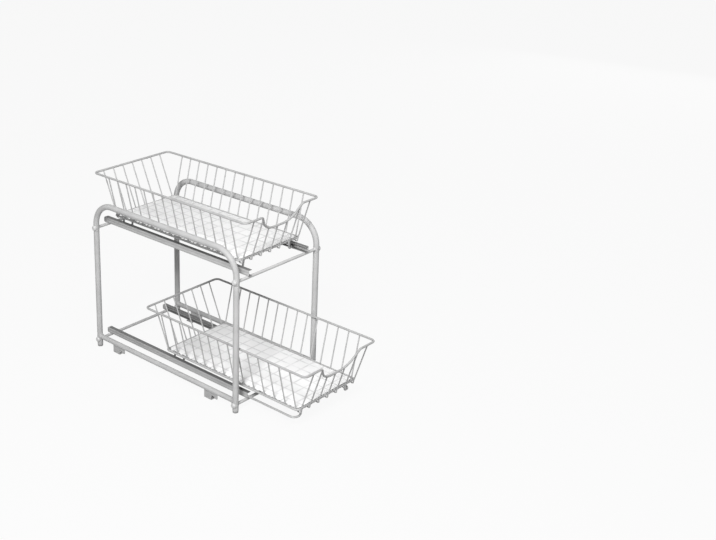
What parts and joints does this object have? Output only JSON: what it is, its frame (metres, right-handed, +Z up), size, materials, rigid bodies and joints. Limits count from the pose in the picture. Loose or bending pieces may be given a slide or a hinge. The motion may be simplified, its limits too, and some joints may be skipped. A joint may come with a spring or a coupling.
{
  "type": "pull-out cabinet basket",
  "caption": "Two-tier rack with tube side arches and wire baskets that slide forward on channels; each basket has a scooped front and leaning walls, and brackets screw the rack to a shelf.",
  "frame": {"origin": "on the floor, at the centre of the four floor screws (11.5 mm behind the middle of the four legs)", "axes": "+X to the right seen from the front, -Y the front, where the baskets pull out, +Z up"},
  "size_m": [0.2636, 0.6163, 0.412],
  "materials": {
    "tube": "silver powder coat, satin",
    "crossbar": "silver powder coat, satin",
    "rim_wire": "silver powder coat, satin",
    "wire": "silver powder coat, satin",
    "mesh_wire": "silver powder coat, satin",
    "runner": "silver powder coat, worn smooth",
    "channel": "grey powder coat, satin",
    "bracket": "grey zinc plate, satin",
    "bolt_cap": "moulded grey plastic",
    "end_stop": "moulded grey plastic",
    "foot": "moulded dark grey plastic",
    "liner": "frosted translucent sheet"
  },
  "bodies": {
    "frame": {"arch_left": "tube", "arch_right": "tube", "bolt_caps_lower": "bolt_cap", "bolt_caps_upper": "bolt_cap", "bottom_rail_left": "tube", "bottom_rail_right": "tube", "channel_flanges_lower_left": "channel", "channel_flanges_lower_right": "channel", "channel_flanges_upper_left": "channel", "channel_flanges_upper_right": "channel", "channel_stops": "end_stop", "channel_web_lower_left": "channel", "channel_web_lower_right": "channel", "channel_web_upper_left": "channel", "channel_web_upper_right": "channel", "crossbar_lower_back": "crossbar", "crossbar_lower_front": "crossbar", "crossbar_upper_back": "crossbar", "crossbar_upper_front": "crossbar", "feet": "foot", "floor_bracket_back_left": "bracket", "floor_bracket_back_right": "bracket", "floor_bracket_front_left": "bracket", "floor_bracket_front_right": "bracket", "leg_back_left": "tube", "leg_back_right": "tube", "leg_front_left": "tube", "leg_front_right": "tube"},
    "lower_basket": {"lower_rim": "rim_wire", "lower_floor_frame": "wire", "lower_side_wires": "wire", "lower_end_wires": "wire", "lower_floor_long_wires": "wire", "lower_floor_cross_wires": "wire", "lower_floor_thin_wires": "mesh_wire", "lower_liner": "liner", "lower_runner_left": "runner", "lower_runner_right": "runner"},
    "upper_basket": {"upper_rim": "rim_wire", "upper_floor_frame": "wire", "upper_side_wires": "wire", "upper_end_wires": "wire", "upper_floor_long_wires": "wire", "upper_floor_cross_wires": "wire", "upper_floor_thin_wires": "mesh_wire", "upper_liner": "liner", "upper_runner_left": "runner", "upper_runner_right": "runner"}
  },
  "joints": [
    {"name": "lower_slide", "type": "slide", "parent": "frame", "child": "lower_basket", "axis": [0, -1, 0], "range_m": [-0.16, 0.14]},
    {"name": "upper_slide", "type": "slide", "parent": "frame", "child": "upper_basket", "axis": [0, -1, 0], "range_m": [0, 0.3]}
  ]
}
